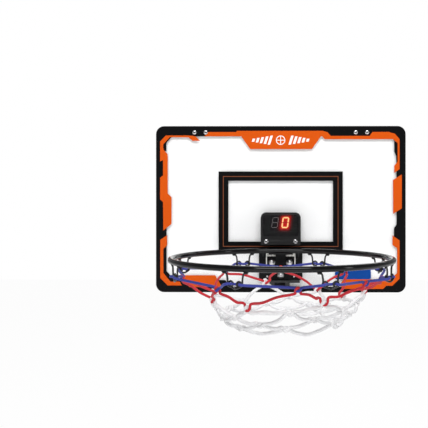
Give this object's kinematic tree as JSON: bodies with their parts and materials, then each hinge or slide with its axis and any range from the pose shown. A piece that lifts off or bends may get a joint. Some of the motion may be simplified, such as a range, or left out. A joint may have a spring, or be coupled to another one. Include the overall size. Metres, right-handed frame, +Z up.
{
  "type": "over-door mini basketball hoop",
  "caption": "Small basketball hoop for a door: printed board, sprung rim with a three-colour knotted net, score display and ball sensor.",
  "frame": {"origin": "on the door's top front edge, midway between the two over-door hooks", "axes": "+X to the right as a player sees the board, +Y into the door, +Z up"},
  "size_m": [0.3, 0.3233, 0.2207],
  "materials": {
    "clear_sheet": "smooth clear plastic sheet",
    "print_black": "printed ink",
    "print_orange": "printed ink",
    "print_white": "printed ink",
    "name_plate": "printed label, left bare",
    "white_liner": "plain white sheet",
    "hook_paint": "satin black coat",
    "foam": "closed-cell foam",
    "screw_steel": "bright nickel plate",
    "nut_steel": "zinc plated",
    "bracket_paint": "satin black coat",
    "rim_paint": "gloss black coat",
    "hook_wire": "satin black coat",
    "bright_wire": "bright plated wire",
    "pin_steel": "black coat",
    "gasket": "thin rubber",
    "blue_cord": "braided cord",
    "red_cord": "braided cord",
    "white_cord": "braided cord",
    "score_case": "fine texture",
    "smoked_lens": "smoked clear plastic",
    "digit_face": "dark face with light segments",
    "circuit": "circuit board lacquer",
    "case_black": "fine texture",
    "cell_wrap": "printed sleeve without lettering",
    "contact_metal": "nickel plated",
    "knob": "plain",
    "sensor_case": "fine texture",
    "sensor_glass": "dark window",
    "lead": "round cable sleeve"
  },
  "bodies": {
    "frame": {"backboard": "clear_sheet", "board_liner": "white_liner", "hook_left": "hook_paint", "hook_right": "hook_paint", "hook_pad_left": "foam", "hook_pad_right": "foam", "hook_screws": "screw_steel", "hook_nuts": "nut_steel", "top_bumper_left": "foam", "top_bumper_right": "foam", "low_bumper_left": "foam", "low_bumper_right": "foam", "rim_plate": "bracket_paint", "plate_gasket": "gasket", "rim_backplate": "nut_steel", "plate_bolts": "screw_steel", "plate_nuts": "nut_steel", "hinge_pin": "pin_steel", "pin_clip": "pin_steel", "spring_left": "bright_wire", "spring_right": "bright_wire", "score_housing": "score_case", "score_lens": "smoked_lens", "digit_display": "digit_face", "score_circuit": "circuit", "link_lead": "lead", "score_screws": "screw_steel", "battery_box": "case_black", "cells": "cell_wrap", "cell_contacts": "contact_metal", "switch_body": "case_black", "sensor_housing": "sensor_case", "sensor_window": "sensor_glass", "sensor_eyes": "sensor_glass", "sensor_circuit": "circuit", "sensor_cable": "lead"},
    "rim": {"rim_arm": "bracket_paint", "rim_ring": "rim_paint", "net_hook_1": "hook_wire", "net_hook_2": "hook_wire", "net_hook_3": "hook_wire", "net_hook_4": "hook_wire", "net_hook_5": "hook_wire", "net_hook_6": "hook_wire", "net_hook_7": "hook_wire", "net_hook_8": "hook_wire", "net_blue_cord": "blue_cord", "net_red_cord": "red_cord", "net_white_cord": "white_cord"},
    "battery_door": {"battery_door": "case_black"},
    "power_switch": {"power_switch": "knob"}
  },
  "joints": [
    {"name": "rim_breakaway", "type": "hinge", "parent": "frame", "child": "rim", "pos_m": [0, -0.0293, -0.1493], "axis": [1, 0, 0], "range_deg": [0, 26], "stiffness_Nm_per_rad": 1.2, "springref_deg": -34.38, "deforming": ["spring_left", "spring_right"]},
    {"name": "battery_door_slide", "type": "slide", "parent": "frame", "child": "battery_door", "axis": [0, 0, 1], "range_m": [0, 0.04]},
    {"name": "power_switch_slide", "type": "slide", "parent": "frame", "child": "power_switch", "axis": [0, 0, 1], "range_m": [0, 0.0025]}
  ]
}
